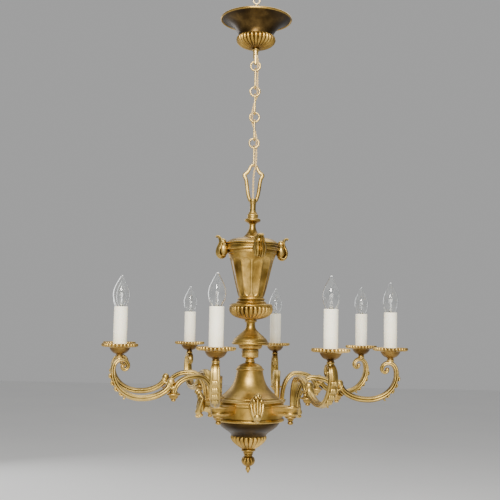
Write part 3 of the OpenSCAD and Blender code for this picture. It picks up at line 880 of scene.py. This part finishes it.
def husks(form, line):
    """A chain of husks down the outside of the scroll, which ends in a small tail."""
    n = len(line) - 1
    for share in (0.555, 0.51, 0.465, 0.42):
        at = line[round(share * n)]
        ahead = (line[round(share * n) + 1] - line[round(share * n) - 1]).normalized()
        off = Vector((0, 1, 0)).cross(ahead)
        way = -ahead
        for side in (-1, 0, 1):
            root = at + off * 4.2 + Vector((0, side * 3.4, 0))
            tip = root + way * 9.5 + off * (2.2 - 0.7 * abs(side)) + Vector((0, side * 2.8, 0))
            path = smooth([root, root + way * 3 + off * 2.2, root + way * 6.6 + off * 2.6, tip], 4)
            form.sweep(path, lambda f: [(a, b * 1.5) for a, b in
                                        circle(2.1 * math.sqrt(max(
                                            0.03, math.sin(math.pi * (0.1 + 0.86 * f)))), 10)])
    at = line[round(0.37 * n)]
    ahead = (line[round(0.37 * n) + 1] - line[round(0.37 * n) - 1]).normalized()
    off = Vector((0, 1, 0)).cross(ahead)
    path = smooth([at + ahead * 6 + off * 2, at + ahead * 1 + off * 6.5, at - ahead * 1 + off * 9,
                   at + ahead * 1.5 + off * 11], 4)
    form.sweep(path, lambda f: circle(2.3 - 0.9 * f, 10))


def arm_form():
    form = Form()
    form.sweep(arch_line(), reeds(lambda f: 4.8 + 1.4 * f, lambda f: 6.2 + 3.0 * min(1, 2 * f)))
    foot = outline([(0, -160), (7.6, -160.4), (9.2, -161.8), (9.4, -163)]) + [(0, -163)]
    spread = Form()
    spread.lathe(foot, 32)
    form.add(spread, Matrix.Translation((12, 0, 0)))
    line = scroll_line()

    def thick(f):
        body = 6.4 - 2.6 * max(0, (f - 0.3) / 0.7)
        return rounded_start(f) * (body + 1.0 * math.exp(-((f - 0.04) / 0.03) ** 2))

    def width(f):
        body = 8.0 + 2.6 * math.exp(-((f - 0.47) / 0.19) ** 2) - 3.4 * max(0, (f - 0.62) / 0.38)
        return rounded_start(f) * (body - 0.6 * math.exp(-((f - 0.04) / 0.03) ** 2))
    form.sweep(line, reeds(thick, width, plain=0.06))
    form.ball(line[-1], (4.6, 6.6, 4.6))
    form.ball((104, 0, -112.4), (8.2, 8.6, 8.2), 28, 14)
    husks(form, line)
    return form


def joint_leaf(form):
    """The leaf that ties the arch, the scroll and the cup together."""
    for side in (-1, 1):
        path = smooth([(JOINT_U - 7, side * 5.6, -122), (JOINT_U + 2, side * 8.2, -126),
                       (JOINT_U + 9, side * 7.8, -123), (JOINT_U + 12, side * 6.8, -117)], 5)
        form.sweep(path, lambda f: circle(2.4 - 0.9 * f, 12))
    boss = Form()
    boss.lathe(outline([(0, -119), (6, -120), (8.8, -124), (8, -129)],
                       [(8, -129), (7, -130.6), (9, -133.6), (12, DROP_TOP)])
               + [(0, DROP_TOP)], 36)
    form.add(boss, Matrix.Translation((JOINT_U, 0, 0)))


def make_arms():
    shared = arm_form()
    joint_leaf(shared)
    neck = Form()
    neck.lathe(outline([(0, BOSS_TOP), (7.4, BOSS_TOP)],
                       [(7.4, BOSS_TOP), (8.2, -61.6), (7, -63.4), (7.6, -66)])
               + [(0, -67)], 28)
    shared.add(neck, Matrix.Translation((ARM_LENGTH, 0, 0)))
    cup = Form()
    cup.lathe(outline([(0, DROP_TOP), (12.6, DROP_TOP)],
                      [(12.6, DROP_TOP), (13.8, -137), (13.8, -138.8), (12, -140)],
                      [(12, -140), (9.8, -142), (9, -144.4)], [(9, -144.4), (7, -147), (4.4, -148.4)],
                      [(4.4, -148.4), (5, -150), (4.2, -151.8), (2.2, -152.8), (0, -153)]), 36)
    cups = Form()
    for i in CANDLES:
        place = arm_matrix(i)
        piece(f"reeded_arm_{i}", shared, ARM_GILT, BODY, [f"arm_{i}"], place, 55)
        cups.add(cup, place @ Matrix.Translation((JOINT_U, 0, 0)))
    piece("joint_cups", cups, GILT, BODY, ["arm_drops"])


# ---------- candles ----------

def make_pans():
    rows = fine_rows(outline(
        [(20.6, -43.8), (22, -42.6), (25.4, -41.8), (29, -41.6), (33.4, -41.4), (36.8, -39.8),
         (37.8, -37.2), (37, -35)],
        [(37, -35), (35.4, -34), (33.2, -35)], [(33.2, -35), (29.2, -36.6), (26, -37.9)]), 1.1)
    rows = rows + [(2.5, -38), (2.5, -40), (18.5, -40), (18.5, -43)]

    def beaded(a, r, z):
        share = (r - 29) / 7
        if share <= 0:
            return r, z
        groove = 1 - abs(math.cos(14 * a)) ** 0.75
        return r - 2.6 * min(1, share) * groove, z + (1.5 if z < -38 else -0.9) * min(1, share) * groove
    one = Form()
    one.lathe(rows, 28 * 10, beaded)
    cup = Form()
    cup.lathe(outline([(2.5, -60), (7, -60)], [(7, -60), (6.6, -58.6), (6.8, -57), (8.6, -55.6)],
                      [(8.6, -55.6), (14, -53), (18.2, -48.6), (20.8, -44), (20.6, -43)])
              + [(18.4, -43), (17.2, -45), (13, -50), (2.5, -53)], 56)
    form, cups = Form(), Form()
    for i in CANDLES:
        form.add(one, Matrix.Translation(candle_point(i)))
        cups.add(cup, Matrix.Translation(candle_point(i)))
    piece("beaded_pans", form, PAN_GILT, BODY, ["drip_pans"])
    # The cups under the pans take the darkened gilt, as painted shade under the pans.
    piece("pan_cups", cups, SHADED_CUP_GILT)


def make_sleeves():
    rows = outline([(12.6, SLEEVE_TOP), (13.4, SLEEVE_TOP), (14, SLEEVE_TOP - 0.9), (14, SLEEVE_TOP - 2)],
                   [(14, SLEEVE_TOP - 2), (14, 20), (14.05, 0), (14, -20), (14, -38)]) + [
                       (12.8, -38), (12.8, 39)]
    one = Form()
    one.lathe(rows, 48)
    for i in CANDLES:
        piece(f"candle_sleeve_{i}", one, IVORY, BODY, [f"sleeve_{i}"],
              Matrix.Translation(candle_point(i)))


BASE_TOP = SLEEVE_TOP - 5


def glass_rows(inset):
    r, z = 17.3 - inset, SLEEVE_TOP
    line = (bezier((8.5 - inset, BASE_TOP + inset, 0), (11 - inset, z + 2, 0), (r, z + 12, 0),
                   (r, z + 25, 0), 12)
            + bezier((r, z + 25, 0), (r, z + 42, 0), (4, z + 56 - inset, 0),
                     (1.6, z + 66 - 2 * inset, 0), 20))
    return [(p.x, p.y) for p in line] + [(0, z + 66 - 2 * inset)]


def make_bulbs():
    shell = Form()
    shell.lathe(glass_rows(0.02) + [(0, SLEEVE_TOP + 64.4)] + glass_rows(0.85)[-2::-1]
                + [(7.65, BASE_TOP + 0.4), (8.48, BASE_TOP)], 56, closed=True)
    stem = Form()
    stem.lathe(outline([(0, 70), (1.6, 69.4), (2.2, 67), (1.7, 62)],
                       [(1.7, 62), (1.9, 52), (3.4, 44), (6.4, 37.5)])
               + [(0, 37.5)], 24)
    wires = Form()
    for side in (-1, 1):
        lead = smooth([(side * 1.2, 0, 60), (side * 2.6, 0, 70), (side * 5.2, 0, 78), (side * 6.2, 0, 80)], 5)
        wires.sweep(lead, lambda f: circle(0.28, 8))
    coil = [Vector((-6.2 + 12.4 * k / 60, 1.6 * math.sin(math.pi * k / 60),
                    80 - 1.6 * math.sin(math.pi * k / 60) + 0.35 * math.sin(2.1 * k))) for k in range(61)]
    wires.sweep(coil, lambda f: circle(0.22, 6))
    wires.sweep(smooth([(0, 0, 69), (0, 0.6, 74), (0, 1.6, 78.6)], 5), lambda f: circle(0.2, 6))
    base = Form()
    threads = [(7.0 - 0.45 * (k % 2), BASE_TOP - 1.2 - 1.1 * k) for k in range(19)]
    base.lathe([(0, BASE_TOP + 0.6), (6.6, BASE_TOP + 0.6), (7, BASE_TOP)] + threads
               + [(4.6, BASE_TOP - 24), (2.6, BASE_TOP - 26), (0, BASE_TOP - 26)], 40)
    for i in CANDLES:
        place = Matrix.Translation(candle_point(i)) @ Matrix.Rotation(0.8 * i, 4, "Z")
        body = f"bulb_{i}"
        piece(f"bulb_glass_{i}", shell, GLASS, body, [f"bulb_{i}"], place)
        piece(f"bulb_stem_{i}", stem, GLASS, body, (), place)
        piece(f"bulb_wires_{i}", wires, STEEL, body, (), place)
        piece(f"bulb_base_{i}", base, PALE, body, (), place)


# ---------- the rest of the frame ----------

def dress_frame():
    """The CAD pieces whose shape is right keep it, and get their metal."""
    plain = {"rose_stem": BRIGHT, "rose_nut": STEEL, "centre_rod": STEEL, "lampholders": HOLDER}
    for i in CHAIN:
        plain[f"ring_{i}"] = BRIGHT
        plain[f"link_{i}"] = BRIGHT
    for node, material in plain.items():
        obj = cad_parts[node]
        obj.data.materials.clear()
        obj.data.materials.append(material)


ARM_GILT = metal("arm_gilt", (0.14, 0.084, 0.018), (0.34, 0.225, 0.055), (0.68, 0.48, 0.155),
                 (0.03, 0.015, 0.004),
                 rough=(0.32, 0.46))
PAN_GILT = metal("pan_gilt", (0.17, 0.095, 0.02), (0.37, 0.23, 0.05), (0.74, 0.51, 0.17),
                 (0.025, 0.012, 0.003))
# Painted shade: a darker, browner copy of the gilt for the cups under the drip pans. It stands in for the
# shadow that the pans cast on them.
SHADED_CUP_GILT = metal("cup_gilt_painted_shade", (0.07, 0.034, 0.009), (0.14, 0.078, 0.02), (0.30, 0.18, 0.05),
                  (0.015, 0.008, 0.003))

make_eye()
make_rose()
make_flex()
make_stirrup()
make_top()
make_vase()
make_bells()
make_drum()
make_pendant()
make_horns()
make_drum_leaves()
make_brackets()
make_arms()
make_pans()
make_sleeves()
make_bulbs()
dress_frame()


# ---------- floor and light ----------

def make_floor():
    material, tree, bsdf = shader("studio_floor")
    cloud = noise_of(tree, 1.5, 3.0)
    tree.links.new(ramp(tree, cloud, 0.35, 0.65, ((0.86, 0.86, 0.86), (0.88, 0.88, 0.875))),
                   bsdf.inputs["Base Color"])
    bsdf.inputs["Roughness"].default_value = 0.85
    low = cad_box[0][2] - 0.4
    mesh = bpy.data.meshes.new("floor")
    mesh.from_pydata([(-9, -9, low), (9, -9, low), (9, 9, low), (-9, 9, low)], [], [(0, 1, 2, 3)])
    mesh.materials.append(material)
    floor = bpy.data.objects.new("floor", mesh)
    bpy.context.scene.collection.objects.link(floor)


def soft_light(name, place, aim, size, watts, colour=(1, 1, 1)):
    data = bpy.data.lights.new(name, "AREA")
    data.shape = "RECTANGLE"
    data.size, data.size_y = size
    data.energy = watts
    data.color = colour
    lamp = bpy.data.objects.new(name, data)
    bpy.context.scene.collection.objects.link(lamp)
    lamp.location = place
    lamp.rotation_euler = (Vector(aim) - Vector(place)).to_track_quat("-Z", "Y").to_euler()


def make_light():
    world = bpy.data.worlds.new("studio")
    bpy.context.scene.world = world
    world.use_nodes = True
    sky = world.node_tree.nodes["Background"]
    sky.inputs[0].default_value = (0.95, 0.95, 0.95, 1)
    sky.inputs[1].default_value = 0.42
    centre = (0, 0, height(0))
    soft_light("key", (-0.3, -2.0, height(1300)), centre, (0.7, 0.7), 92, (1, 0.965, 0.89))
    soft_light("fill", (0.3, -5.5, height(300)), centre, (4.0, 2.4), 150, (1, 0.965, 0.89))
    soft_light("top", (0.2, 0.6, height(1500)), centre, (1.6, 1.6), 22)
    soft_light("back", (-1.6, 2.2, height(500)), centre, (1.2, 1.6), 14)


make_floor()
make_light()
